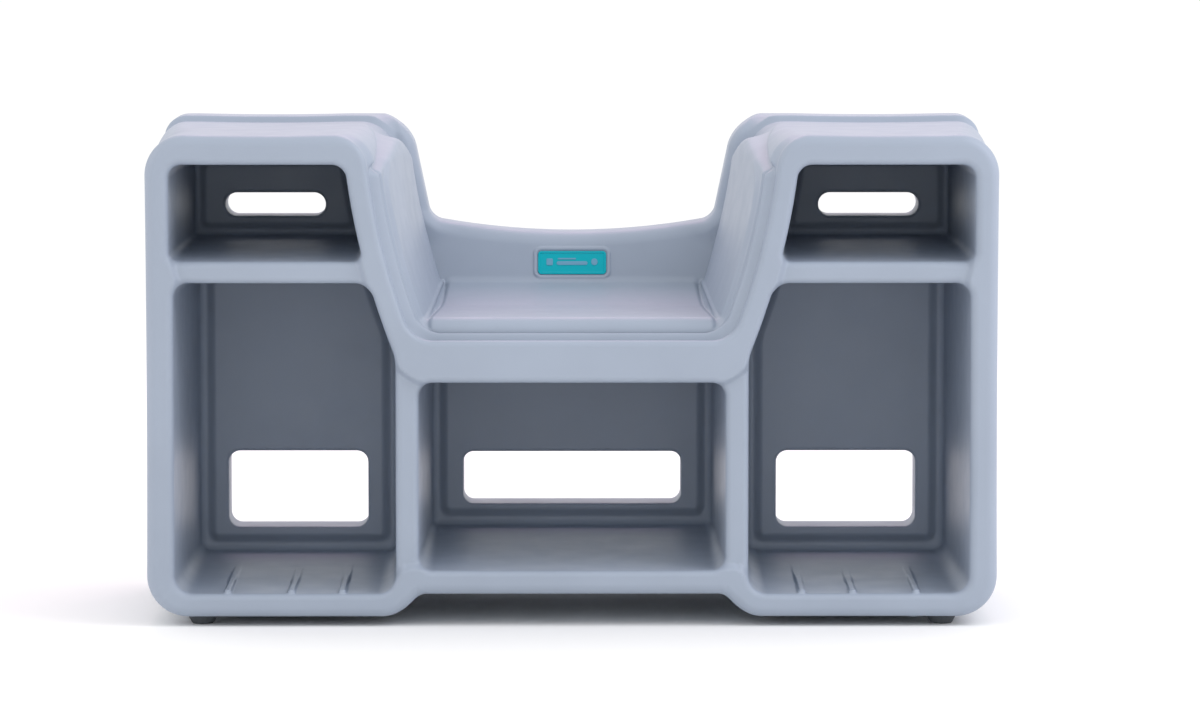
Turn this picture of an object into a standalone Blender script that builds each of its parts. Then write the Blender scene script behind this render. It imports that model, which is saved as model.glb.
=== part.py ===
"""A step stool and work seat, rotationally moulded hollow in one piece, standing on four rubber feet.

Two storage towers stand left and right of a low seat with a curved backrest lip. The front holds five
open pockets, and their back wall has hand slots and windows. X runs left to right, Y front to back, Z up,
in metres. The origin is on the floor, under the middle of the stool.
"""

import math

import bmesh
import bpy
from mathutils import Matrix, Vector
from mathutils.geometry import delaunay_2d_cdt

# Overall size
WIDTH = 0.711
DEPTH = 0.300
HEIGHT = 0.416
STEP_HEIGHT = 0.411
FOOT_HEIGHT = 0.008
FRONT = -DEPTH / 2
BACK = DEPTH / 2
HALF_WIDTH = WIDTH / 2
BASE = FOOT_HEIGHT

# Moulding
SKIN = 0.0035
EDGE_ROUND = 0.008
MOUTH_ROUND = 0.004
FIT_GAP = 0.0003
OVERSHOOT = 0.002

# Outer outline
ARCH_RISE = 0.0190
ARCH_HALF = 0.126
BOTTOM_CORNER = 0.035
GAP_CORNER = 0.026
SEAT_CORNER = 0.015
SLOPE_BEND = 0.031

# The slope between tower and seat, in front and behind: x of its top, x and height of its bend, x of
# its foot
SLOPE_FRONT = (0.1724, 0.163, 0.330, 0.130)
SLOPE_BACK = (0.1428, 0.1335, 0.371, 0.1243)

# How far the slope has moved from its front to its back shape, by depth
LEAN = ((-0.142, 0.0), (0.090, 0.55), (0.112, 1.0), (0.142, 1.0))

# By depth: the reach of the tower's outer top corner, and its height, which steps up to a rim over the
# back wall
TOP_CORNER = ((-0.142, 0.038), (0.090, 0.026))
TOP_PROFILE = ((0.0985, STEP_HEIGHT), (0.104, HEIGHT))

# The seat and the backrest lip in side view: depth and height on the middle line
BACKREST_FOOT = (0.0905, 0.2745)
BACKREST_HEAD = (0.0985, 0.3035)
SEAT_PROFILE = (
    (-0.142, 0.2388),
    (-0.129, 0.2435),
    (-0.120, 0.2515),
    (-0.095, 0.2560),
    (0.010, 0.2585),
    (0.060, 0.2620),
    (0.078, 0.2665),
    BACKREST_FOOT,
    BACKREST_HEAD,
    (0.104, 0.3105),
    (0.113, 0.3136),
    (0.142, 0.3136),
)
LIP_HEIGHT = SEAT_PROFILE[-1][1]
LIP_CURVE = 0.78

# Pockets
POCKET_BACK = 0.112
PLATEAU_RISE = 0.007
CHANNEL = 0.005
DRAFT = 0.009
POCKET_CORNER = 0.012
UPPER_POCKET = ((0.1755, 0.3054), (0.3350, 0.3054), (0.3350, 0.3862), (0.189, 0.3862))
LOWER_POCKET = ((0.147, 0.0275), (0.3305, 0.0275), (0.3305, 0.2874), (0.1695, 0.2874), (0.147, 0.225))
MIDDLE_POCKET = ((-0.1283, 0.0465), (0.1283, 0.0465), (0.1283, 0.2045), (-0.1283, 0.2045))

# The shelf bars and posts between the pockets stand back from the front frame
BAR_SETBACK = 0.005
SHELF_BAR = ((0.175, 0.281), (0.325, 0.281), (0.330, 0.312), (0.181, 0.312))
POST_BAR = ((0.120, 0.052), (0.156, 0.040), (0.156, 0.229), (0.120, 0.199))

# Openings through the back wall: left, right, bottom, top, corner
HAND_SLOT = (0.2153, 0.3028, 0.3278, 0.3482, 0.0101)
TOWER_WINDOW = (0.1790, 0.3010, 0.0545, 0.1214, 0.010)
MIDDLE_WINDOW = (-0.0953, 0.0953, 0.0750, 0.1208, 0.009)

# Floor ribs of the tower pockets
RIB_PLACES = (0.192, 0.2345, 0.2875)
RIB_WIDTH = 0.006
RIB_HEIGHT = 0.0035
RIB_FRONT = -0.143
RIB_BACK = 0.082

# Feet: tapered rubber bumpers, each held by a washer and a self-tapping screw
FOOT_X = 0.310
FOOT_Y = 0.122
FOOT_TOP_RADIUS = 0.0125
FOOT_TIP_RADIUS = 0.0085
FOOT_EDGE = 0.0010
FOOT_BORE_RADIUS = 0.0050
FOOT_BORE_DEPTH = 0.0045
WASHER_RADIUS = 0.0045
WASHER_THICKNESS = 0.0010
SCREW_RADIUS = 0.0020
SCREW_LENGTH = 0.0160
SCREW_HEAD_RADIUS = 0.0038
SCREW_HEAD_HEIGHT = 0.0024
DRIVE_WIDTH = 0.0010
DRIVE_SPAN = 0.0042
DRIVE_DEPTH = 0.0012

# Vent plug beside the front right foot
VENT_X = 0.2860
VENT_Y = -0.128
VENT_HOLE_RADIUS = 0.0040
VENT_HEAD_RADIUS = 0.0055
VENT_HEAD_HEIGHT = 0.0014
VENT_BARB_RADIUS = 0.0034

# Nameplate on the backrest
PLATE_WIDTH = 0.0594
PLATE_HEIGHT = 0.0206
PLATE_THICKNESS = 0.0020
PLATE_SUNK = 0.0010
PLATE_CORNER = 0.0030
PLATE_EDGE = 0.0005
PLATE_Z = 0.2875
PEG_SPACING = 0.0400
PEG_RADIUS = 0.0020
PEG_LENGTH = 0.0085

ARC_STEPS = 4
TURNED_STEPS = 16

COLOURS = {
    "moulded_plastic": ((0.36, 0.41, 0.49), 0.55, 0.0),
    "nameplate_plastic": ((0.0, 0.42, 0.48), 0.40, 0.0),
    "foot_rubber": ((0.035, 0.040, 0.045), 0.80, 0.0),
    "plug_plastic": ((0.36, 0.41, 0.49), 0.55, 0.0),
    "zinc_steel": ((0.60, 0.60, 0.58), 0.35, 1.0),
}


# ---------------------------------------------------------------- scene, materials, objects


def clear_scene():
    for obj in list(bpy.data.objects):
        bpy.data.objects.remove(obj, do_unlink=True)


def new_collection(name):
    collection = bpy.data.collections.new(name)
    bpy.context.scene.collection.children.link(collection)
    return collection


def material(name):
    found = bpy.data.materials.get(name)
    if found:
        return found
    colour, roughness, metallic = COLOURS[name]
    made = bpy.data.materials.new(name)
    made.use_nodes = True
    shader = made.node_tree.nodes["Principled BSDF"]
    shader.inputs["Base Color"].default_value = (*colour, 1.0)
    shader.inputs["Roughness"].default_value = roughness
    shader.inputs["Metallic"].default_value = metallic
    return made


def add_object(name, shape, collection, finish=None):
    """Puts a bmesh into the scene as a mesh object and frees it."""
    mesh = bpy.data.meshes.new(name)
    shape.to_mesh(mesh)
    shape.free()
    obj = bpy.data.objects.new(name, mesh)
    collection.objects.link(obj)
    if finish:
        mesh.materials.append(material(finish))
    return obj


def make_cutter(obj):
    obj.hide_render = True
    obj.display_type = "WIRE"
    return obj


def boolean(obj, other, operation="DIFFERENCE"):
    modifier = obj.modifiers.new(f"{operation.lower()}_{other.name}", "BOOLEAN")
    modifier.operation = operation
    modifier.object = other


# ---------------------------------------------------------------- outlines and lofts


def mirrored(corners):
    """The same outline on the other side of the middle plane, still counter-clockwise."""
    return tuple((-corner[0], *corner[1:]) for corner in reversed(corners))


def rounded_loop(corners, inset=0.0, steps=ARC_STEPS):
    """A closed counter-clockwise outline in (x, z) with its corners rounded.

    Each corner is (x, z, reach), where reach is how far from the corner its arc starts. A positive inset
    moves the outline inwards and a negative one outwards, and the arcs keep their centres.
    """
    points = []
    for index, (x, z, reach) in enumerate(corners):
        before = Vector(corners[index - 1][:2])
        here = Vector((x, z))
        after = Vector(corners[(index + 1) % len(corners)][:2])
        arriving = (here - before).normalized()
        leaving = (after - here).normalized()
        normal_in = Vector((-arriving.y, arriving.x))
        normal_out = Vector((-leaving.y, leaving.x))
        moved = here + (normal_in + normal_out) * inset / (1 + normal_in.dot(normal_out))
        turn = arriving.x * leaving.y - arriving.y * leaving.x
        half_tangent = turn / (1 + arriving.dot(leaving))
        length = max(reach - inset * half_tangent, FIT_GAP)
        weight = 1 / math.sqrt(1 + half_tangent**2)
        start = moved - arriving * length
        end = moved + leaving * length
        for step in range(steps + 1):
            t = step / steps
            parts = ((1 - t) ** 2, 2 * t * (1 - t) * weight, t**2)
            points.append((start * parts[0] + moved * parts[1] + end * parts[2]) / sum(parts))
    return points


def cap_faces(outline):
    """Triangles of corner numbers that fill a flat outline."""
    numbers = list(range(len(outline)))
    _, _, faces, sources, _, _ = delaunay_2d_cdt(outline, [], [numbers], 1, 1e-7)
    return [[sources[corner][0] for corner in face] for face in faces]


def loft(rings):
    """A closed solid through rings of (y, outline), each outline with the same number of points."""
    shape = bmesh.new()
    layers = [[shape.verts.new((point.x, y, point.y)) for point in outline] for y, outline in rings]
    for near, far in zip(layers, layers[1:]):
        for index in range(len(near)):
            shape.faces.new((near[index - 1], near[index], far[index], far[index - 1]))
    for layer, (_, outline) in ((layers[0], rings[0]), (layers[-1], rings[-1])):
        for face in cap_faces(outline):
            shape.faces.new([layer[corner] for corner in face])
    bmesh.ops.triangulate(shape, faces=shape.faces)
    bmesh.ops.recalc_face_normals(shape, faces=shape.faces)
    return shape


def interpolate(table, position):
    """The value at a position in a table of (position, value) pairs, held level past its ends."""
    if position <= table[0][0]:
        return table[0][1]
    for (start, first), (end, second) in zip(table, table[1:]):
        if position <= end:
            return first + (second - first) * (position - start) / (end - start)
    return table[-1][1]


# ---------------------------------------------------------------- moulded body


def outer_corners(y):
    """The body's cross-section at depth y as corners, counter-clockwise from the left foot."""
    lean = interpolate(LEAN, y)
    floor = interpolate(SEAT_PROFILE, y)
    curve = LIP_CURVE * (floor - SEAT_PROFILE[0][1]) / (LIP_HEIGHT - SEAT_PROFILE[0][1])
    top = interpolate(TOP_PROFILE, y)
    top_x, bend_x, bend_z, foot_x = [
        front + (back - front) * lean for front, back in zip(SLOPE_FRONT, SLOPE_BACK)
    ]
    right = (
        (ARCH_HALF, BASE + ARCH_RISE, 0.004),
        (ARCH_HALF + ARCH_RISE, BASE, 0.0115),
        (HALF_WIDTH, BASE, BOTTOM_CORNER),
        (HALF_WIDTH, top, interpolate(TOP_CORNER, y)),
        (top_x, top, GAP_CORNER),
        (bend_x, bend_z, SLOPE_BEND * (1 - 0.6 * lean)),
        (foot_x, floor + curve * foot_x**2, SEAT_CORNER - 0.007 * lean),
        (foot_x / 2, floor, 0.040),
    )
    return right + mirrored(right)


def outer_solid(skin=0.0):
    """The body without its pockets. A skin gives the hollow inside it instead."""
    rings = []
    if skin:
        depths = [y for y, _ in SEAT_PROFILE if FRONT + skin < y < BACK - skin]
        depths = [FRONT + skin, *depths, BACK - skin]
        rings = [(y, rounded_loop(outer_corners(y - skin), skin, steps=2)) for y in depths]
        return loft(rings)
    round_steps = 3
    angles = [math.pi / 2 * step / round_steps for step in range(round_steps, 0, -1)]
    for angle in angles:
        y = FRONT + EDGE_ROUND * (1 - math.sin(angle))
        rings.append((y, rounded_loop(outer_corners(y), EDGE_ROUND * (1 - math.cos(angle)))))
    for y, _ in SEAT_PROFILE:
        rings.append((y, rounded_loop(outer_corners(y))))
    for angle in reversed(angles):
        y = BACK - EDGE_ROUND * (1 - math.sin(angle))
        rings.append((y, rounded_loop(outer_corners(y), EDGE_ROUND * (1 - math.cos(angle)))))
    return loft(rings)


def drafted(corners, share):
    """Pocket corners with the side walls and the ceiling drawn in by a share of the draft."""
    middle = sum(corner[0] for corner in corners) / len(corners)
    ceiling = max(corner[1] for corner in corners)
    narrowed = []
    for x, z in corners:
        side = DRAFT if x < middle else -DRAFT
        drop = DRAFT if z == ceiling else 0.0
        narrowed.append((x + side * share, z - drop * share, POCKET_CORNER))
    return narrowed


def pocket_solid(corners, skin=0.0):
    """A pocket open to the front, with a plateau on its back wall. A skin makes it larger all round."""
    rings = [(FRONT - OVERSHOOT, rounded_loop(drafted(corners, 0.0), -MOUTH_ROUND - skin))]
    for angle in (0.0, math.pi / 4, math.pi / 2):
        y = FRONT + MOUTH_ROUND * (1 - math.cos(angle))
        rings.append((y, rounded_loop(drafted(corners, 0.0), -MOUTH_ROUND * (1 - math.sin(angle)) - skin)))
    end = drafted(corners, 1.0)
    if skin:
        rings.append((POCKET_BACK - CHANNEL, rounded_loop(end, -skin)))
        rings.append((POCKET_BACK + skin, rounded_loop(end, 0.0)))
        return loft(rings)
    rings.append((POCKET_BACK - CHANNEL, rounded_loop(end)))
    rings.append((POCKET_BACK, rounded_loop(end, CHANNEL * 0.6)))
    rings.append((POCKET_BACK, rounded_loop(end, CHANNEL)))
    rings.append((POCKET_BACK - PLATEAU_RISE, rounded_loop(end, CHANNEL * 1.5)))
    return loft(rings)


def bar_solid(corners, skin=0.0):
    """What is cut away in front of a shelf bar or a post."""
    outline = rounded_loop([(x, z, 0.002) for x, z in corners], -skin, steps=1)
    return loft([(FRONT - OVERSHOOT, outline), (FRONT + BAR_SETBACK + skin, outline)])


def opening_solid(opening, skin=0.0):
    """A rounded opening through the back wall."""
    left, right, bottom, top, corner = opening
    corners = ((left, bottom, corner), (right, bottom, corner), (right, top, corner), (left, top, corner))
    outline = rounded_loop(corners, -skin)
    near = POCKET_BACK - PLATEAU_RISE - OVERSHOOT
    return loft([(near, outline), (BACK + OVERSHOOT, outline)])


def rib_solid(x):
    """A low round-ended rib on a pocket floor, sunk slightly into it."""
    shape = bmesh.new()
    bmesh.ops.create_cube(shape, size=1.0)
    floor = LOWER_POCKET[0][1]
    sunk = SKIN / 2
    size = Vector((RIB_WIDTH, RIB_BACK - RIB_FRONT, RIB_HEIGHT + sunk))
    place = Vector((x, (RIB_BACK + RIB_FRONT) / 2, floor + (RIB_HEIGHT - sunk) / 2))
    bmesh.ops.scale(shape, vec=size, verts=shape.verts)
    bmesh.ops.translate(shape, vec=place, verts=shape.verts)
    upper = [edge for edge in shape.edges if all(vertex.co.z > floor for vertex in edge.verts)]
    bmesh.ops.bevel(shape, geom=upper, offset=RIB_HEIGHT * 0.6, segments=1, affect="EDGES")
    return shape


def cylinder(radius, low, high, steps=TURNED_STEPS):
    """An upright cylinder between two heights."""
    shape = bmesh.new()
    bmesh.ops.create_cone(
        shape, cap_ends=True, segments=steps, radius1=radius, radius2=radius, depth=high - low
    )
    bmesh.ops.translate(shape, verts=shape.verts, vec=(0, 0, (high + low) / 2))
    return shape


def plate_frame():
    """Where the nameplate sits: X along the stool, Z out of the backrest's face."""
    foot = Vector((0, *BACKREST_FOOT))
    head = Vector((0, *BACKREST_HEAD))
    upward = (head - foot).normalized()
    outward = Vector((1, 0, 0)).cross(upward)
    centre = foot + (head - foot) * (PLATE_Z - foot.z) / (head.z - foot.z)
    axes = Matrix((Vector((1, 0, 0)), upward, outward)).transposed().to_4x4()
    return Matrix.Translation(centre) @ axes


def plate_solid(width, height, low, high, corner, edge=0.0):
    """A flat rounded plate in its own frame, between two heights over the backrest's face."""
    half = Vector((width / 2, height / 2))
    corners = [(half.x * side, half.y * end, corner) for side, end in ((-1, -1), (1, -1), (1, 1), (-1, 1))]
    rings = [(low, rounded_loop(corners)), (high - edge, rounded_loop(corners))]
    if edge:
        rings.append((high, rounded_loop(corners, edge)))
    shape = loft(rings)
    # The loft's depth becomes the plate's own height.
    bmesh.ops.transform(shape, matrix=Matrix.Rotation(math.pi / 2, 4, "X"), verts=shape.verts)
    bmesh.ops.scale(shape, vec=(1, 1, -1), verts=shape.verts)
    bmesh.ops.transform(shape, matrix=Matrix.Diagonal((1, -1, 1, 1)), verts=shape.verts)
    bmesh.ops.recalc_face_normals(shape, faces=shape.faces)
    return shape


def foot_places():
    """Name ending and place of each foot."""
    for end, y in (("front", -FOOT_Y), ("rear", FOOT_Y)):
        for side, x in (("left", -FOOT_X), ("right", FOOT_X)):
            yield f"{end}_{side}", x, y


def make_body(parts, cutters):
    body = add_object("moulded_body", outer_solid(), parts, "moulded_plastic")
    hollow = make_cutter(add_object("hollow", outer_solid(SKIN), cutters))
    pockets = {
        "upper_left_pocket": mirrored(UPPER_POCKET),
        "upper_right_pocket": UPPER_POCKET,
        "lower_left_pocket": mirrored(LOWER_POCKET),
        "lower_right_pocket": LOWER_POCKET,
        "middle_pocket": MIDDLE_POCKET,
    }
    bars = {
        "left_shelf_bar": mirrored(SHELF_BAR),
        "right_shelf_bar": SHELF_BAR,
        "left_post": mirrored(POST_BAR),
        "right_post": POST_BAR,
    }
    openings = {"right_slot": HAND_SLOT, "right_window": TOWER_WINDOW, "middle_window": MIDDLE_WINDOW}
    for side in ("slot", "window"):
        left, right, *rest = openings[f"right_{side}"]
        openings[f"left_{side}"] = (-right, -left, *rest)
    shapes = [(name, pocket_solid, corners) for name, corners in pockets.items()]
    shapes += [(name, bar_solid, corners) for name, corners in bars.items()]
    shapes += [(name, opening_solid, opening) for name, opening in openings.items()]
    for name, build, outline in shapes:
        boolean(body, make_cutter(add_object(name, build(outline), cutters)))
        boolean(hollow, make_cutter(add_object(f"{name}_wall", build(outline, SKIN), cutters)))
    boolean(body, hollow)
    for index, x in enumerate(RIB_PLACES + tuple(-x for x in RIB_PLACES)):
        boolean(body, make_cutter(add_object(f"floor_rib_{index + 1}", rib_solid(x), cutters)), "UNION")
    holes = [(f"screw_hole_{name}", x, y, SCREW_RADIUS + FIT_GAP) for name, x, y in foot_places()]
    holes.append(("vent_hole", VENT_X, VENT_Y, VENT_HOLE_RADIUS))
    for name, x, y, radius in holes:
        shape = cylinder(radius, BASE - OVERSHOOT, BASE + SKIN + OVERSHOOT, steps=16)
        hole = make_cutter(add_object(name, shape, cutters))
        hole.location = (x, y, 0)
        boolean(body, hole)
    seat = plate_solid(
        PLATE_WIDTH + 2 * FIT_GAP, PLATE_HEIGHT + 2 * FIT_GAP, -PLATE_SUNK, OVERSHOOT, PLATE_CORNER
    )
    seat = make_cutter(add_object("nameplate_seat", seat, cutters))
    seat.matrix_world = plate_frame()
    boolean(body, seat)
    for side in (-1, 1):
        shape = cylinder(PEG_RADIUS + FIT_GAP, -PEG_LENGTH - OVERSHOOT, 0.0, steps=16)
        hole = make_cutter(add_object(f"peg_hole_{'left' if side < 0 else 'right'}", shape, cutters))
        hole.matrix_world = plate_frame() @ Matrix.Translation((side * PEG_SPACING / 2, 0, 0))
        boolean(body, hole)
    return body


# ---------------------------------------------------------------- nameplate, feet, plug


def make_nameplate(parts, cutters):
    low = FIT_GAP - PLATE_SUNK
    shape = plate_solid(PLATE_WIDTH, PLATE_HEIGHT, low, low + PLATE_THICKNESS, PLATE_CORNER, PLATE_EDGE)
    plate = add_object("nameplate", shape, parts, "nameplate_plastic")
    plate.matrix_world = plate_frame()
    for side in (-1, 1):
        peg = cylinder(PEG_RADIUS, -PEG_LENGTH, 0.0, steps=16)
        peg = make_cutter(add_object(f"nameplate_peg_{'left' if side < 0 else 'right'}", peg, cutters))
        peg.matrix_world = plate_frame() @ Matrix.Translation((side * PEG_SPACING / 2, 0, 0))
        boolean(plate, peg, "UNION")
    return plate


def turned(name, profile, finish, parts):
    """A turned piece from its half profile of (radius, height) points, which runs down the outer side."""
    shape = bmesh.new()
    points = [shape.verts.new((radius, 0, height)) for radius, height in profile]
    for first, second in zip(points, points[1:] + points[:1]):
        if first.co.x or second.co.x:
            shape.edges.new((first, second))
    obj = add_object(name, shape, parts, finish)
    screw = obj.modifiers.new("turn", "SCREW")
    screw.steps = TURNED_STEPS
    screw.render_steps = TURNED_STEPS
    screw.use_merge_vertices = True
    screw.merge_threshold = 0.00001
    screw.use_smooth_shade = True
    return obj


def make_feet(parts, cutters):
    top = FOOT_HEIGHT - FIT_GAP
    shoulder = FOOT_BORE_DEPTH
    neck = SCREW_RADIUS + FIT_GAP
    foot_profile = (
        (neck, top),
        (FOOT_TOP_RADIUS - FOOT_EDGE, top),
        (FOOT_TOP_RADIUS, top - FOOT_EDGE),
        (FOOT_TIP_RADIUS + FOOT_EDGE, FOOT_EDGE),
        (FOOT_TIP_RADIUS, 0.0),
        (FOOT_BORE_RADIUS, 0.0),
        (FOOT_BORE_RADIUS, shoulder),
        (neck, shoulder),
    )
    washer_top = shoulder - FIT_GAP
    washer_foot = washer_top - WASHER_THICKNESS
    washer_profile = (
        (neck, washer_top),
        (WASHER_RADIUS, washer_top),
        (WASHER_RADIUS, washer_foot),
        (neck, washer_foot),
    )
    head_top = washer_foot - FIT_GAP
    screw_tip = head_top + SCREW_LENGTH
    screw_profile = (
        (0.0, screw_tip),
        (SCREW_RADIUS, screw_tip - 2 * SCREW_RADIUS),
        (SCREW_RADIUS, head_top),
        (SCREW_HEAD_RADIUS, head_top),
        (SCREW_HEAD_RADIUS, head_top - SCREW_HEAD_HEIGHT * 0.45),
        (SCREW_HEAD_RADIUS * 0.72, head_top - SCREW_HEAD_HEIGHT),
        (0.0, head_top - SCREW_HEAD_HEIGHT),
    )
    for name, x, y in foot_places():
        foot = turned(f"foot_{name}", foot_profile, "foot_rubber", parts)
        washer = turned(f"foot_washer_{name}", washer_profile, "zinc_steel", parts)
        screw = turned(f"foot_screw_{name}", screw_profile, "zinc_steel", parts)
        for piece in (foot, washer, screw):
            piece.location = (x, y, 0)
        for index, size in enumerate(((DRIVE_SPAN, DRIVE_WIDTH), (DRIVE_WIDTH, DRIVE_SPAN))):
            shape = bmesh.new()
            bmesh.ops.create_cube(shape, size=1.0)
            bmesh.ops.scale(shape, vec=(*size, 2 * DRIVE_DEPTH), verts=shape.verts)
            slot = make_cutter(add_object(f"drive_slot_{name}_{index + 1}", shape, cutters))
            slot.location = (x, y, head_top - SCREW_HEAD_HEIGHT)
            boolean(screw, slot)


def make_vent_plug(parts):
    under = BASE - FIT_GAP
    inside = BASE + SKIN + FIT_GAP
    profile = (
        (0.0, inside + 0.0025),
        (VENT_BARB_RADIUS * 0.7, inside + 0.0025),
        (VENT_BARB_RADIUS, inside),
        (VENT_BARB_RADIUS, under),
        (VENT_HEAD_RADIUS, under),
        (VENT_HEAD_RADIUS * 0.82, under - VENT_HEAD_HEIGHT),
        (0.0, under - VENT_HEAD_HEIGHT),
    )
    plug = turned("vent_plug", profile, "plug_plastic", parts)
    plug.location = (VENT_X, VENT_Y, 0)


def main():
    clear_scene()
    parts = new_collection("step_stool_seat")
    cutters = new_collection("cutters")
    make_body(parts, cutters)
    make_nameplate(parts, cutters)
    make_feet(parts, cutters)
    make_vent_plug(parts)


main()
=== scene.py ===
"""Moulded step stool and work seat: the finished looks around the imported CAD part.

The moulding is described once, as a field that is negative inside the plastic. It is
sampled on a grid, meshed, thinned out and pulled back onto the field, so that every
edge keeps the soft radius of rotational moulding. Lengths in the field are millimetres
in the part's frame: x to the right, y from the open front to the back, z up.
"""

import math

import bmesh
import bpy
import numpy as np
from mathutils import Matrix, Vector


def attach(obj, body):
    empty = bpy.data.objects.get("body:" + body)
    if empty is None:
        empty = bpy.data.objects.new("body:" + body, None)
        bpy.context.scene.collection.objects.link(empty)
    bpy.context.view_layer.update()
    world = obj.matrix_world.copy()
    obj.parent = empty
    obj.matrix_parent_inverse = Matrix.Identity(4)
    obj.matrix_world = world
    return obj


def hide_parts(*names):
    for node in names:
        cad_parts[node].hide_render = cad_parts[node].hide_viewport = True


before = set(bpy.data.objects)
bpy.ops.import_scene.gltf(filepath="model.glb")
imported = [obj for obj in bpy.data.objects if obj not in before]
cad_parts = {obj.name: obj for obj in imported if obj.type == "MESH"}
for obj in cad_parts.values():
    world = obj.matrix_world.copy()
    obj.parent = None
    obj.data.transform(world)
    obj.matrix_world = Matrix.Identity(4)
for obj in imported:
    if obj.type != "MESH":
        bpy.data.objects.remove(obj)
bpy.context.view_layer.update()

MM = 0.001

# The outline of the moulding.
HALF_WIDTH = 355.5
HALF_DEPTH = 150.0
SIDE_BOW = 1.0
BASE = 8.0
TOP_FRONT = 411.0
TOP_RIM = 416.0
EDGE_ROUND = 8.5
GAP_EDGE_ROUND = 4.8
TOP_CORNER = 34.0
REAR_TOP_CORNER = 20.0
BOTTOM_CORNER = 35.0
GAP_CORNER = 26.0
RIM_CORNER = 28.5
ARCH_TOP = 27.0
ARCH_HALF = 127.2
ARCH_SLOPE = 1.03

# The slope between tower and seat: the heights that it runs between, and the curves of the gap's and of
# the pockets' front edge, as x at the foot and its first and second change up to the head.
SLOPE_FOOT = 248.0
SLOPE_HEIGHT = 138.0
GAP_EDGE = (136.5, 52.4, -18.3)
POCKET_EDGE = (155.7, 49.8, -17.0)
LEAN_PER_MM = 0.0756

# The front frame band and the openings that it surrounds.
BAND_TOP = 386.2
BAND_FLOOR = 27.5
MIDDLE_FLOOR = 46.8
FLOOR_BEND_X = 138.6
APRON_LOW = 205.2
APRON_CORNER = 20.0
SETBACK = 5.0
SETBACK_WIDTH = 7.0
MOUTH_ROUND = 5.0
OUTER_MOUTH_ROUND = 6.5

# The pockets.
POST_OUTER = 147.0
POST_INNER = 128.3
SHELF_LOW = 287.4
SHELF_HIGH = 305.0
POCKET_CORNER = 12.0
POCKET_BACK = 112.0
PLATEAU_RISE = 6.0
PLATEAU_CORNER = 7.0
WALL_DRAFT = 6.0

# The seat, its welt, its pads and the rim behind them.
CREST = 239.6
SEAT_CORNER = 15.0
SIDE_STEP = 9.8
SIDE_RELIEF = ((-140.3, 1.9, -2.3), (-135.5, 2.0, 1.6), (-130.3, 1.9, -3.2))
SEAT_STEP = 3.6
SEAT_RELIEF = ((-138.4, 2.0, -2.6), (-133.3, 2.3, 1.6), (-129.2, 1.6, -2.2))
TOP_PAD_STEP = 5.6
PAD_FRONT = -128.0
PAD_LEVEL = 256.9
SLOPE_PAD_RISE = 11.5
PAD_CROWN = 2.4
BEAD_FRONT = (123.4, -116.0, 253.0)
BEAD_BACK = (114.1, 88.0, 271.2)
BEAD_ROUND = 2.2
LIP_LEVEL = 313.6
LIP_CURVE = 0.00078
RIM_FRONT = 98.5
RIM_GROOVE = ((97.0, 2.2, -0.8),)
RIM_ROUND = 12.0
LIP_ROUND = 12.5
LIP_REACH = 3.0

# The through openings: left, right, bottom, top, corner.
HAND_SLOT = (215.3, 302.8, 327.8, 348.2, 10.1)
TOWER_WINDOW = (179.0, 301.0, 54.5, 121.4, 10.0)
MIDDLE_WINDOW = (-95.3, 95.3, 75.0, 120.8, 9.0)
WINDOW_ROUND = 3.0

RIB_PLACES = (192.0, 234.5, 287.5)
RIB_HALF_WIDTH = 3.0
RIB_HEIGHT = 3.5
RIB_ENDS = (-143.5, 79.0)

# The nameplate on the backrest and the raised frame round it.
PLATE_Z = 287.5
BACK_LEAN = math.atan2(8.0, 29.0)
PLATE_HALF = (29.7, 10.3)
PLATE_CORNER = 3.0
PLATE_SUNK = 0.7
PLATE_PROUD = 1.3
FRAME_GAP = 0.7
FRAME_WIDTH = 3.2
FRAME_HEIGHT = 1.3

# The plate's motif: place, half size and corner of each raised shape.
MOTIF_SHAPES = (
    ((0.0, -0.5), (13.5, 1.7), 1.7),
    ((-4.5, 3.4), (8.0, 0.7), 0.7),
    ((-19.5, 0.6), (2.8, 3.0), 1.0),
    ((19.5, 0.6), (2.8, 3.0), 2.8),
)

# Colours.
PLASTIC = (0.32, 0.37, 0.45)
TEAL = (0.0, 0.42, 0.49)
MOTIF = (0.16, 0.36, 0.50)
RUBBER = (0.085, 0.095, 0.105)
ZINC = (0.60, 0.60, 0.58)
FLOOR = (0.94, 0.94, 0.93)

# The studio: the brightness of its white dome, its lamps with their width and height, watts, place and
# colour, the point that they all face, and half the floor's width.
DOME = 1.09
LAMPS = {
    "key": ((1.6, 1.6), 19.0, (1.9, -1.0, 2.2), (0.86, 0.88, 1.0)),
    "left": ((1.2, 1.2), 5.0, (-2.2, -0.5, 1.2), (1.0, 0.90, 0.98)),
    "right": ((1.2, 1.2), 7.0, (2.2, -0.5, 1.2), (1.0, 0.90, 0.98)),
    "rim": ((1.6, 1.2), 10.7, (0.0, 1.8, 2.0), (1.0, 0.55, 0.78)),
}
LAMP_TARGET = (0.0, 0.0, 0.2)
FLOOR_HALF = 30.0

# The camera: its place, how far it looks down and to the left in degrees, its lens and its sensor's width.
CAMERA_PLACE = (0.00037, -4.95574, 0.64636)
CAMERA_DOWN = 5.0055
CAMERA_LEFT = -0.2726
LENS = 174.0
SENSOR = 36.0

# The sampling grid.
STEP = 2.0
FACES_TO_KEEP = 180000
NUDGE = 0.05


def rise(low, high, value):
    """A smooth step from 0 at low to 1 at high."""
    t = np.clip((value - low) / (high - low), 0.0, 1.0)
    return t * t * (3.0 - 2.0 * t)


def relief(value, shapes):
    """Soft beads and grooves, each given as its middle, width and height. A groove's height is negative."""
    return sum(height * np.exp(-(((value - middle) / width) ** 2)) for middle, width, height in shapes)


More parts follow.
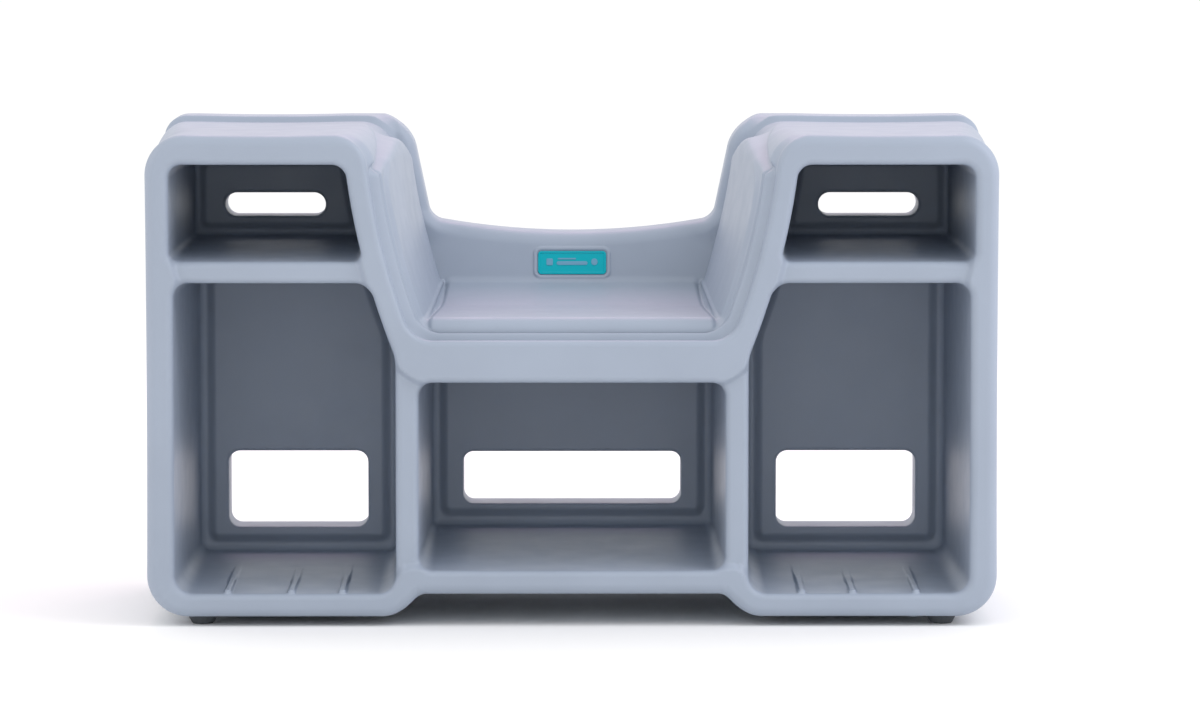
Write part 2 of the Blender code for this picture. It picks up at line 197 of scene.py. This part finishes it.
def soft_min(a, b, width):
    """The smaller of two fields, with a soft blend for faces that meet at a flat angle."""
    h = np.maximum(width - np.abs(a - b), 0.0) / width
    return np.minimum(a, b) - h * h * width / 4.0


def soft_max(a, b, width):
    return -soft_min(-a, -b, width)


def join(a, b, radius):
    """Union of two solids with a concave fillet of this radius."""
    u = np.maximum(radius - a, 0.0)
    v = np.maximum(radius - b, 0.0)
    return np.maximum(radius, np.minimum(a, b)) - np.sqrt(u * u + v * v)


def meet(a, b, radius):
    """Intersection of two solids with a convex rounding of this radius."""
    u = np.maximum(radius + a, 0.0)
    v = np.maximum(radius + b, 0.0)
    return np.minimum(-radius, np.maximum(a, b)) + np.sqrt(u * u + v * v)


def slope_line(z, curve):
    """x of a gently curving sloped edge at height z, and its steepness."""
    start, first, second = curve
    u = np.clip((z - SLOPE_FOOT) / SLOPE_HEIGHT, -0.35, 1.3)
    return start + first * u + second * u * u, (first + 2.0 * second * u) / SLOPE_HEIGHT


def rounded_box(x, z, left, right, bottom, top, corner):
    """A rectangle with rounded corners, as it is seen from the front."""
    across = np.abs(x - (left + right) / 2.0) - (right - left) / 2.0
    up = np.abs(z - (bottom + top) / 2.0) - (top - bottom) / 2.0
    return meet(across, up, corner)


def rim_front(z, x=0.0):
    """y of the backrest's leaning face, which stands upright beside the towers."""
    reach = LIP_REACH * (1.0 - rise(96.0, 122.0, x))
    return RIM_FRONT + soft_min((z - 303.5) * math.tan(BACK_LEAN), reach, 1.5)


def seat_level(y):
    """Height of the seat pad, which sweeps up into the backrest."""
    back = np.clip((y + 10.0) / 85.0, 0.0, 1.2)
    return PAD_LEVEL + 11.0 * back**1.8


def side_welt(y):
    """How far the gap's sides stand in behind the front edge: a step with two grooves and a bead on it."""
    return SIDE_STEP * rise(-146.0, -128.5, y) + relief(y, SIDE_RELIEF)


def seat_welt(y):
    """The same step, grooves and bead along the seat's front edge, lower and closer together."""
    return SEAT_STEP * rise(-137.3, -134.3, y) + relief(y, SEAT_RELIEF)


def valley(y):
    """Height of the hollow on the tower's side between the pad on its top and the pad on its side."""
    behind = y + 130.0
    return 385.0 + 0.2 * behind - 0.0003 * behind * behind


def gap_field(x, y, z):
    """The towers' inner sides, the welted edge, the pads, the backrest and the rim behind them."""
    # The bare slope and seat, set in behind the front edge by the welt.
    line, steep = slope_line(z, GAP_EDGE)
    facing = 1.0 / np.sqrt(1.0 + steep * steep)
    lean = LEAN_PER_MM * (np.clip(y, -141.5, 120.0) + 141.5)
    slope = (line - lean - x) * facing
    seat = z - (CREST + seat_level(y) - PAD_LEVEL)
    hollow = valley(y)
    head = soft_min(hollow - 4.0, 412.0 - 0.3 * y, 10.0)
    above_hollow = rise(-4.0, 4.0, z - hollow)
    above_head = rise(-4.0, 4.0, z - head)
    wrap = TOP_PAD_STEP * rise(-146.0, PAD_FRONT, y)
    side_step = side_welt(y) * (1.0 - above_head) + wrap * above_hollow
    base = join(slope - side_step, seat - seat_welt(y), SEAT_CORNER)

    # The pad on the tower's side. It ends at the rim, and its foot stands on the seat.
    front = PAD_FRONT - y
    crown = PAD_CROWN * (1.0 - ((y + 10.0) / 125.0) ** 2)
    outline = meet(front - 3.0, z - head, 24.0)
    slope_core = meet(slope - SLOPE_PAD_RISE - crown, outline, 20.0 - 13.0 * rise(-120.0, -80.0, y))
    slope_core = meet(slope_core, y - (rim_front(z, x) - 2.0), 6.0)
    slope_pad = meet(slope_core, 253.5 + (y + 120.0) * 0.0725 - z, 5.0)

    # The seat pad, and the plastic at the bottom of the seam between the two pads.
    seat_core = meet(z - seat_level(y), front, 13.0)
    seat_pad = meet(seat_core, x - (121.0 - (y + 130.0) * 0.051), 5.0)
    filler = join(slope_core + 1.5, meet(z - seat_level(y), front + 2.5, 8.0) + 3.6, 6.0)

    # The rim behind the pads: the tower's rear post, and the backrest with its curved lip.
    rim_side = (125.0 + 0.2097 * (z - 333.0) - x) * 0.979
    lip = z - (LIP_LEVEL + LIP_CURVE * x * x)
    rim = join(rim_side, lip, 9.0)
    rim_round = LIP_ROUND + (RIM_ROUND - LIP_ROUND) * rise(96.0, 122.0, x)
    rim = meet(rim, (rim_front(z, x) - y) * math.cos(BACK_LEAN), rim_round)

    # The bead in the seam.
    along = np.clip((y - BEAD_FRONT[1]) / (BEAD_BACK[1] - BEAD_FRONT[1]), 0.0, 1.0)
    nearest = [front + (back - front) * along for front, back in zip(BEAD_FRONT, BEAD_BACK)]
    bead = np.sqrt(sum((here - there) ** 2 for here, there in zip((x, y, z), nearest))) - BEAD_ROUND

    seat_part = join(seat_pad, rim, 5.0)
    field = join(base, filler, 6.0)
    field = join(field, slope_pad, 3.0)
    field = join(field, bead, 2.5)
    return join(field, seat_part, 2.0)


def floor_line(x, low, high, bend):
    """Height of a line that steps up from the towers to the middle at 45 degrees."""
    shoulder = high - (x - bend) * ARCH_SLOPE
    foot = soft_max(shoulder, np.full_like(shoulder, low), 13.0)
    return soft_min(np.full_like(shoulder, high), foot, 5.0)


def frame_opening(x, z):
    """The area inside the proud front band, negative inside."""
    line, steep = slope_line(z, POCKET_EDGE)
    band = meet((x - line) / np.sqrt(1.0 + steep * steep), APRON_LOW - z, APRON_CORNER)
    outer = x - outer_wall(z)
    opening = meet(-band, z - BAND_TOP, 11.0)
    opening = meet(opening, outer, 13.0)
    floor = (floor_line(x, BAND_FLOOR, MIDDLE_FLOOR, FLOOR_BEND_X) - z) * floor_facing(x, FLOOR_BEND_X)
    return meet(opening, floor, 17.0)


def floor_facing(x, bend):
    """Cosine of the step's slope, to keep distances true on its shoulder."""
    steep = ARCH_SLOPE * rise(bend - 2.0, bend + 3.0, x) * (1.0 - rise(bend + 12.0, bend + 27.0, x))
    return 1.0 / np.sqrt(1.0 + steep * steep)


def outer_wall(z):
    """x of the pockets' outer wall at their mouth: a little further out for the upper pocket."""
    return 332.0 + 3.5 * rise(286.0, 306.0, z)


def pocket(walls, y, inner):
    """A pocket from its outline at the mouth: drafted walls, a channel round a proud back panel."""
    drafted = walls + WALL_DRAFT * (y + HALF_DEPTH) / 255.0
    back = POCKET_BACK - PLATEAU_RISE * rise(-5.0, 5.0, -inner)
    return meet(drafted, y - back, 7.0)


def tower_edges(x, z, low, high):
    """The outer, inner, upper and lower edge of a tower's pocket, each negative inside."""
    line, steep = slope_line(z, POCKET_EDGE)
    slanted = (line - x) / np.sqrt(1.0 + steep * steep)
    inner = soft_max(slanted, POST_OUTER - x, 3.0)
    return x - outer_wall(z), inner, z - high, low - z


def box_of_edges(edges, insets, corner, low_corner):
    """A rounded outline from four edge distances, each moved in by its own inset."""
    outer, inner, high, low = (edge + inset for edge, inset in zip(edges, insets))
    area = meet(outer, high, corner)
    area = meet(area, inner, corner)
    return meet(area, low, low_corner)


def pockets(x, y, z):
    """All the pockets as one void, negative inside."""
    upper = tower_edges(x, z, SHELF_HIGH, BAND_TOP)
    lower = tower_edges(x, z, BAND_FLOOR, SHELF_LOW)
    side = x - POST_INNER
    middle_floor = floor_line(x, BAND_FLOOR, MIDDLE_FLOOR, FLOOR_BEND_X) + 3.0 * rise(-140.0, 100.0, y)
    void = pocket(
        box_of_edges(upper, (0.0, 0.0, 0.0, 0.0), 11.0, 9.0),
        y,
        box_of_edges(upper, (12.0, 12.5, 11.0, 13.0), PLATEAU_CORNER, PLATEAU_CORNER),
    )
    lower_void = pocket(
        box_of_edges(lower, (0.0, 0.0, 0.0, 0.0), POCKET_CORNER, 16.0),
        y,
        box_of_edges(lower, (15.5, 15.6, 14.0, 16.5), PLATEAU_CORNER, PLATEAU_CORNER),
    )
    middle = (side, side, z - (APRON_LOW - 0.7), middle_floor - z)
    middle_void = pocket(
        meet(meet(side, middle[2], POCKET_CORNER), middle[3], POCKET_CORNER),
        y,
        meet(meet(side + 15.0, middle[2] + 14.0, PLATEAU_CORNER), middle[3] + 17.0, PLATEAU_CORNER),
    )
    return np.minimum(np.minimum(void, lower_void), middle_void)


def windows(x, y, z):
    """The hand slots and the windows, which pass through the back wall only."""
    void = rounded_box(x, z, *HAND_SLOT)
    void = np.minimum(void, rounded_box(x, z, *TOWER_WINDOW))
    void = np.minimum(void, rounded_box(x, z, *MIDDLE_WINDOW))
    return np.maximum(void, 92.0 - y)


def ribs(x, y, z):
    """Low ribs along the floors of the lower pockets."""
    past_end = y - np.clip(y, *RIB_ENDS)
    across = np.minimum.reduce([np.abs(x - place) for place in RIB_PLACES])
    wall = np.sqrt(across * across + past_end * past_end) - RIB_HALF_WIDTH
    rib = meet(wall, z - (BAND_FLOOR + RIB_HEIGHT), 0.8)
    return np.maximum(rib, BAND_FLOOR - 6.0 - z)


def plate_frame(x, y, z):
    """The raised frame round the nameplate, on the backrest's leaning face."""
    behind = y - rim_front(PLATE_Z)
    above = z - PLATE_Z
    along = above * math.cos(BACK_LEAN) + behind * math.sin(BACK_LEAN)
    depth = behind * math.cos(BACK_LEAN) - above * math.sin(BACK_LEAN)
    area = meet(
        x - PLATE_HALF[0] - FRAME_GAP, np.abs(along) - PLATE_HALF[1] - FRAME_GAP, PLATE_CORNER + FRAME_GAP
    )
    ring = meet(area - FRAME_WIDTH, -area, 1.2)
    ring = meet(ring, -FRAME_HEIGHT - depth, 1.2)
    return np.maximum(ring, depth - 5.0)


def solid(x, y, z):
    """The whole moulding: negative inside the plastic. It is the same on both sides of x = 0."""
    x = np.abs(x)
    side = x - (HALF_WIDTH - SIDE_BOW * (1.0 - ((z - 212.0) / 204.0) ** 2))
    dish = 0.9 * np.maximum(0.0, 1.0 - ((x - 260.0) / 64.0) ** 2)
    step = (TOP_RIM - TOP_FRONT) * rise(97.5, 102.5, y) + relief(y, RIM_GROOVE)
    top = z - (TOP_FRONT + step - dish)
    underside = (floor_line(x, BASE, ARCH_TOP, ARCH_HALF) - z) * floor_facing(x, ARCH_HALF)
    corner = TOP_CORNER + (REAR_TOP_CORNER - TOP_CORNER) * rise(-110.0, 70.0, y)
    gap_corner = GAP_CORNER + (RIM_CORNER - GAP_CORNER) * rise(-60.0, 100.0, y)

    gap = gap_field(x, y, z)
    gap = join(gap, plate_frame(x, y, z), 1.0)
    body = meet(gap, top, gap_corner)
    body = meet(body, side, corner)
    body = meet(body, underside, BOTTOM_CORNER)
    opening = frame_opening(x, z)
    face = -HALF_DEPTH + SETBACK * rise(0.0, SETBACK_WIDTH, -opening)
    edge = GAP_EDGE_ROUND + (EDGE_ROUND - GAP_EDGE_ROUND) * rise(6.0, 24.0, -gap)
    body = meet(body, face - y, edge)
    body = meet(body, y - HALF_DEPTH, EDGE_ROUND)

    mouth = MOUTH_ROUND + (OUTER_MOUTH_ROUND - MOUTH_ROUND) * rise(300.0, 325.0, x)
    body = meet(body, -pockets(x, y, z), mouth)
    body = meet(body, -windows(x, y, z), WINDOW_ROUND)
    return join(body, ribs(x, y, z), 1.0)


def spaced(*zones):
    """Grid lines from (start, end, step) zones that follow each other."""
    lines = [np.arange(start, end, step) for start, end, step in zones]
    return np.concatenate([*lines, [zones[-1][1]]])


def sample_grid():
    """Grid lines that are closest where the welt and the rear crease lie.

    Only one half is sampled. Its first cells straddle x = 0, so their points belong on the middle plane.
    """
    fine = STEP / 2.0
    xs = spaced(
        (-STEP / 2.0, 23.0, STEP),
        (23.0, 37.0, fine),
        (37.0, 104.0, STEP),
        (104.0, 132.0, fine),
        (132.0, HALF_WIDTH + 2.0 * STEP, STEP),
    )
    ys = spaced(
        (-HALF_DEPTH - STEP, -119.0, fine),
        (-119.0, 84.0, STEP * 1.2),
        (84.0, 112.0, fine * 1.3),
        (112.0, HALF_DEPTH + STEP, STEP),
    )
    zs = spaced(
        (BASE - 1.5 * STEP, 228.0, STEP),
        (228.0, 306.0, fine * 1.2),
        (306.0, TOP_RIM + 2.0 * STEP, STEP),
    )
    return xs, ys, zs


def mesh_field(xs, ys, zs):
    """Vertices and quads where the sampled field changes sign, one vertex for each cell it crosses."""
    values = solid(
        xs[:, None, None].astype(np.float32),
        ys[None, :, None].astype(np.float32),
        zs[None, None, :].astype(np.float32),
    )
    inside = values < 0.0
    cells = tuple(n - 1 for n in values.shape)
    corners = [(i, j, k) for i in (0, 1) for j in (0, 1) for k in (0, 1)]
    count = np.zeros(cells, np.int8)
    for i, j, k in corners:
        count += inside[i : i + cells[0], j : j + cells[1], k : k + cells[2]]
    active = np.argwhere((count > 0) & (count < 8))
    number = np.full(cells, -1, np.int64)
    number[tuple(active.T)] = np.arange(len(active))

    axes = (xs, ys, zs)
    total = np.zeros((len(active), 3))
    crossings = np.zeros(len(active))
    for a in corners:
        for axis in range(3):
            if a[axis]:
                continue
            b = tuple(v + (n == axis) for n, v in enumerate(a))
            at_a, at_b = active + a, active + b
            value_a = values[tuple(at_a.T)].astype(float)
            value_b = values[tuple(at_b.T)].astype(float)
            crosses = (value_a < 0.0) != (value_b < 0.0)
            share = np.where(crosses, value_a / np.where(crosses, value_a - value_b, 1.0), 0.0)
            for n in range(3):
                start, end = axes[n][at_a[:, n]], axes[n][at_b[:, n]]
                total[:, n] += np.where(crosses, start + share * (end - start), 0.0)
            crossings += crosses
    points = total / crossings[:, None]

    quads = []
    for axis in range(3):
        u, v = (axis + 1) % 3, (axis + 2) % 3
        low = [slice(None)] * 3
        high = [slice(None)] * 3
        low[axis], high[axis] = slice(0, -1), slice(1, None)
        for other in (u, v):
            low[other] = high[other] = slice(1, -1)
        first, second = inside[tuple(low)], inside[tuple(high)]
        edges = np.argwhere(first != second)
        leaving = first[tuple(edges.T)]
        offset = np.ones(3, int)
        offset[axis] = 0
        edges = edges + offset
        around = []
        for du, dv in ((-1, -1), (0, -1), (0, 0), (-1, 0)):
            cell = edges.copy()
            cell[:, u] += du
            cell[:, v] += dv
            around.append(number[tuple(cell.T)])
        quad = np.stack(around, axis=1)
        quad[~leaving] = quad[~leaving][:, ::-1]
        quads.append(quad)
    return points, np.concatenate(quads)


def field_and_slope(points):
    """The field and its change along x, y and z at each point."""
    x, y, z = points.T
    value = solid(x, y, z)
    slope = np.empty_like(points)
    for n in range(3):
        ahead, behind = points.copy(), points.copy()
        ahead[:, n] += NUDGE
        behind[:, n] -= NUDGE
        slope[:, n] = (solid(*ahead.T) - solid(*behind.T)) / (2.0 * NUDGE)
    return value, slope


def pull_onto_surface(points, rounds, on_middle):
    """Moves each point along the field's slope until it lies on the surface."""
    for _ in range(rounds):
        value, slope = field_and_slope(points)
        length = np.maximum((slope**2).sum(1), 0.05)
        shift = slope * (value / length)[:, None]
        size = np.sqrt((shift**2).sum(1))
        shift *= np.minimum(1.0, STEP / np.maximum(size, 1e-9))[:, None]
        points = points - shift
        points[on_middle, 0] = 0.0
    return points


def thin_out(points, quads, keep):
    """Collapses edges on the flats with Blender's own decimation, and returns points and triangles."""
    mesh = bpy.data.meshes.new("half")
    mesh.from_pydata(points.tolist(), [], quads.tolist())
    half = bpy.data.objects.new("half", mesh)
    bpy.context.scene.collection.objects.link(half)
    modifier = half.modifiers.new("thin", "DECIMATE")
    modifier.ratio = min(1.0, keep / (2.0 * len(quads)))
    modifier.use_collapse_triangulate = True
    group = half.vertex_groups.new(name="middle")
    on_middle = np.nonzero(np.abs(points[:, 0]) < 1e-6)[0].tolist()
    group.add(on_middle, 1.0, "REPLACE")
    modifier.vertex_group = "middle"
    modifier.invert_vertex_group = True
    modifier.vertex_group_factor = 10.0
    graph = bpy.context.evaluated_depsgraph_get()
    thinned = half.evaluated_get(graph).to_mesh()
    thinned.calc_loop_triangles()
    found = np.empty(len(thinned.vertices) * 3)
    thinned.vertices.foreach_get("co", found)
    faces = np.empty(len(thinned.loop_triangles) * 3, np.int32)
    thinned.loop_triangles.foreach_get("vertices", faces)
    bpy.data.objects.remove(half)
    bpy.data.meshes.remove(mesh)
    return found.reshape(-1, 3), faces.reshape(-1, 3)


def both_halves(points, faces):
    """The half model and its mirror image, sharing the points on x = 0."""
    middle = np.abs(points[:, 0]) < 1e-6
    mirrored = points * (-1.0, 1.0, 1.0)
    index = np.arange(len(points))
    index[~middle] = len(points) + np.arange((~middle).sum())
    other = index[faces][:, ::-1]
    return np.concatenate([points, mirrored[~middle]]), np.concatenate([faces, other])


def make_body():
    """The whole moulding as one closed mesh, shaded by the field's own slope."""
    points, quads = mesh_field(*sample_grid())
    middle = np.abs(points[:, 0]) <= STEP / 4.0
    points[middle, 0] = 0.0
    points = pull_onto_surface(points, 2, middle)
    points, faces = thin_out(points, quads, FACES_TO_KEEP / 2.0)
    middle = np.abs(points[:, 0]) < 1e-4
    points = pull_onto_surface(points, 2, middle)
    points, faces = both_halves(points, faces)
    slope = field_and_slope(points)[1]
    normals = slope / np.linalg.norm(slope, axis=1)[:, None]
    mesh = bpy.data.meshes.new("moulding")
    mesh.from_pydata((points * MM).tolist(), [], faces.tolist())
    mesh.polygons.foreach_set("use_smooth", np.ones(len(faces), bool))
    mesh.normals_split_custom_set_from_vertices(normals.tolist())
    body = bpy.data.objects.new("moulding", mesh)
    bpy.context.scene.collection.objects.link(body)
    print("moulding:", len(points), "points", len(faces), "faces")
    return body


def rounded_outline(half_x, half_y, corner, steps=6):
    """Points of a rounded rectangle round the origin, counter-clockwise."""
    corner = min(corner, half_x, half_y)
    points = []
    for quarter, (side, end) in enumerate(((1, 1), (-1, 1), (-1, -1), (1, -1))):
        for step in range(steps + 1):
            angle = math.pi / 2.0 * (quarter + step / steps)
            across = side * (half_x - corner) + corner * math.cos(angle)
            up = end * (half_y - corner) + corner * math.sin(angle)
            points.append((across, up))
    return points


def add_layers(shape, half, corner, layers, middle=(0.0, 0.0)):
    """A closed plate through layers of (inset, height) of one rounded outline."""
    rings = []
    for inset, height in layers:
        outline = rounded_outline(half[0] - inset, half[1] - inset, max(corner - inset, 0.2))
        rings.append([shape.verts.new((middle[0] + x, middle[1] + y, height)) for x, y in outline])
    for low, high in zip(rings, rings[1:]):
        for n in range(len(low)):
            shape.faces.new((low[n - 1], low[n], high[n], high[n - 1]))
    shape.faces.new(rings[0][::-1])
    shape.faces.new(rings[-1])


def make_nameplate():
    """A teal plate with a raised border and a plain raised motif, on two pegs."""
    shape = bmesh.new()
    field = PLATE_PROUD - 0.45
    border = ((0.0, -PLATE_SUNK), (0.0, PLATE_PROUD - 0.5), (0.15, PLATE_PROUD - 0.15), (0.5, PLATE_PROUD))
    add_layers(shape, PLATE_HALF, PLATE_CORNER, (*border, (1.7, PLATE_PROUD), (2.1, field)))
    raised = ((0.0, field - 0.1), (0.0, PLATE_PROUD - 0.2), (0.2, PLATE_PROUD - 0.05))
    for place, half, corner in MOTIF_SHAPES:
        add_layers(shape, half, corner, raised, place)
    for side in (-1, 1):
        add_layers(shape, (2.0, 2.0), 2.0, ((0.0, -8.5), (0.0, -PLATE_SUNK + 0.1)), (side * 20.0, 0.0))
    mesh = bpy.data.meshes.new("plate")
    bmesh.ops.scale(shape, vec=(MM, MM, MM), verts=shape.verts)
    shape.to_mesh(mesh)
    shape.free()
    plate = bpy.data.objects.new("plate", mesh)
    upward = Vector((0.0, math.sin(BACK_LEAN), math.cos(BACK_LEAN)))
    outward = Vector((0.0, -math.cos(BACK_LEAN), math.sin(BACK_LEAN)))
    axes = Matrix((Vector((1.0, 0.0, 0.0)), upward, outward)).transposed().to_4x4()
    centre = Vector((0.0, float(rim_front(PLATE_Z)), PLATE_Z)) * MM
    plate.matrix_world = Matrix.Translation(centre) @ axes
    bpy.context.scene.collection.objects.link(plate)
    return plate


class Paint:
    """A material under construction: its nodes, and the shader that they feed."""

    def __init__(self, name, roughness, metallic=0.0):
        self.material = bpy.data.materials.new(name)
        self.material.use_nodes = True
        self.tree = self.material.node_tree
        self.shader = self.tree.nodes["Principled BSDF"]
        self.shader.inputs["Roughness"].default_value = roughness
        self.shader.inputs["Metallic"].default_value = metallic
        self.place = self.tree.nodes.new("ShaderNodeTexCoord").outputs["Object"]

    def link(self, source, target):
        self.tree.links.new(source, target)

    def noise(self, scale, detail, distortion=0.0):
        node = self.tree.nodes.new("ShaderNodeTexNoise")
        node.inputs["Scale"].default_value = scale
        node.inputs["Detail"].default_value = detail
        node.inputs["Distortion"].default_value = distortion
        self.link(self.place, node.inputs["Vector"])
        return node.outputs["Fac"]

    def spread(self, source, start, end, low, high):
        """Maps a value from the range start..end to the range low..high."""
        node = self.tree.nodes.new("ShaderNodeMapRange")
        for label, value in (("From Min", start), ("From Max", end), ("To Min", low), ("To Max", high)):
            node.inputs[label].default_value = value
        self.link(source, node.inputs["Value"])
        return node.outputs["Result"]

    def blend(self, factor, first, second):
        """A mix of two colours. Each is a plain colour or another node's output."""
        node = self.tree.nodes.new("ShaderNodeMix")
        node.data_type = "RGBA"
        self.link(factor, node.inputs["Factor"])
        for socket, value in (("A_Color", first), ("B_Color", second)):
            target = next(found for found in node.inputs if found.identifier == socket)
            if isinstance(value, tuple):
                target.default_value = (*value, 1.0)
            else:
                self.link(value, target)
        return next(found for found in node.outputs if found.identifier == "Result_Color")

    def arithmetic(self, operation, first, second):
        node = self.tree.nodes.new("ShaderNodeMath")
        node.operation = operation
        for socket, value in zip(node.inputs, (first, second)):
            if isinstance(value, float):
                socket.default_value = value
            else:
                self.link(value, socket)
        return node.outputs["Value"]


def finish(name, base, roughness, grain, depth, mottle=0.035, metallic=0.0, specular=0.45):
    """A material with mottled colour, scuffs, uneven gloss and a fine grain."""
    paint = Paint(name, roughness, metallic)
    darker = tuple(v * (1.0 - mottle) for v in base)
    lighter = tuple(min(1.0, v * (1.0 + mottle)) for v in base)
    clouds = paint.spread(paint.noise(9.0, 3.0), 0.3, 0.7, 0.0, 1.0)
    colour = paint.blend(clouds, darker, lighter)
    scuffs = paint.spread(paint.noise(26.0, 6.0, 1.6), 0.66, 0.72, 0.0, 0.12)
    worn = tuple(min(1.0, v * 1.12 + 0.01) for v in base)
    colour = paint.blend(scuffs, colour, worn)
    paint.link(colour, paint.shader.inputs["Base Color"])
    gloss = paint.spread(paint.noise(45.0, 4.0), 0.3, 0.7, roughness - 0.05, roughness + 0.05)
    gloss = paint.arithmetic("ADD", gloss, paint.arithmetic("MULTIPLY", scuffs, 0.6))
    paint.link(gloss, paint.shader.inputs["Roughness"])
    bump = paint.tree.nodes.new("ShaderNodeBump")
    bump.inputs["Strength"].default_value = 0.12
    bump.inputs["Distance"].default_value = depth
    paint.link(paint.noise(grain, 2.0), bump.inputs["Height"])
    paint.link(bump.outputs["Normal"], paint.shader.inputs["Normal"])
    paint.shader.inputs["Specular IOR Level"].default_value = specular
    return paint, colour


def nameplate_finish():
    """Teal plastic whose raised motif is printed grey blue."""
    paint, colour = finish("teal_plastic", TEAL, 0.45, 1500.0, 0.0001, specular=0.15)
    parts = paint.tree.nodes.new("ShaderNodeSeparateXYZ")
    paint.link(paint.place, parts.inputs["Vector"])
    across = paint.arithmetic("ABSOLUTE", parts.outputs["X"], 0.0)
    up = paint.arithmetic("ABSOLUTE", parts.outputs["Y"], 0.0)
    within = paint.arithmetic("LESS_THAN", across, 0.026)
    within = paint.arithmetic("MULTIPLY", within, paint.arithmetic("LESS_THAN", up, 0.0085))
    raised = paint.arithmetic("GREATER_THAN", parts.outputs["Z"], (PLATE_PROUD - 0.25) * MM)
    printed = paint.arithmetic("MULTIPLY", within, raised)
    paint.link(paint.blend(printed, colour, MOTIF), paint.shader.inputs["Base Color"])
    return paint.material


def dress(obj, material):
    obj.data.materials.clear()
    obj.data.materials.append(material)


def add_lamp(name, size, power, place, colour):
    data = bpy.data.lights.new(name, "AREA")
    data.shape = "RECTANGLE"
    data.size, data.size_y = size
    data.energy = power
    data.color = colour
    lamp = bpy.data.objects.new(name, data)
    lamp.location = place
    lamp.rotation_euler = (Vector(LAMP_TARGET) - Vector(place)).to_track_quat("-Z", "Y").to_euler()
    bpy.context.scene.collection.objects.link(lamp)


def make_studio():
    """The pale floor, the white dome and the lamps."""
    shape = bmesh.new()
    bmesh.ops.create_grid(shape, size=FLOOR_HALF)
    mesh = bpy.data.meshes.new("floor")
    shape.to_mesh(mesh)
    shape.free()
    floor = bpy.data.objects.new("floor", mesh)
    bpy.context.scene.collection.objects.link(floor)
    paper = Paint("floor_paper", 0.9)
    paper.shader.inputs["Base Color"].default_value = (*FLOOR, 1.0)
    paper.shader.inputs["Specular IOR Level"].default_value = 0.0
    dress(floor, paper.material)

    world = bpy.data.worlds.new("studio")
    world.use_nodes = True
    tree = world.node_tree
    sky = tree.nodes["Background"]
    sky.inputs["Color"].default_value = (1.0, 1.0, 1.0, 1.0)
    sky.inputs["Strength"].default_value = DOME
    bpy.context.scene.world = world

    for name, lamp in LAMPS.items():
        add_lamp(name, *lamp)
    bpy.context.scene.view_settings.view_transform = "Standard"


def make_camera():
    data = bpy.data.cameras.new("photo_camera")
    data.sensor_width = SENSOR
    data.lens = LENS
    camera = bpy.data.objects.new("photo_camera", data)
    camera.location = CAMERA_PLACE
    camera.rotation_euler = (math.radians(90.0 - CAMERA_DOWN), 0.0, math.radians(CAMERA_LEFT))
    bpy.context.scene.collection.objects.link(camera)
    bpy.context.scene.camera = camera


moulded = finish("moulded_grey", PLASTIC, 0.45, 900.0, 0.0004)[0].material
body = make_body()
dress(body, moulded)
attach(body, "root")
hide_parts("moulded_body")

plate = make_nameplate()
dress(plate, nameplate_finish())
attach(plate, "root")
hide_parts("nameplate")

rubber = finish("grey_rubber", RUBBER, 0.75, 1400.0, 0.0003, 0.08, specular=0.3)[0].material
zinc = finish("zinc_plate", ZINC, 0.32, 2200.0, 0.00005, 0.05, metallic=1.0)[0].material
for name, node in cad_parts.items():
    if name.startswith(("foot_washer", "foot_screw")):
        dress(node, zinc)
    elif name.startswith("foot"):
        dress(node, rubber)
    elif name == "vent_plug":
        dress(node, moulded)

make_studio()
make_camera()
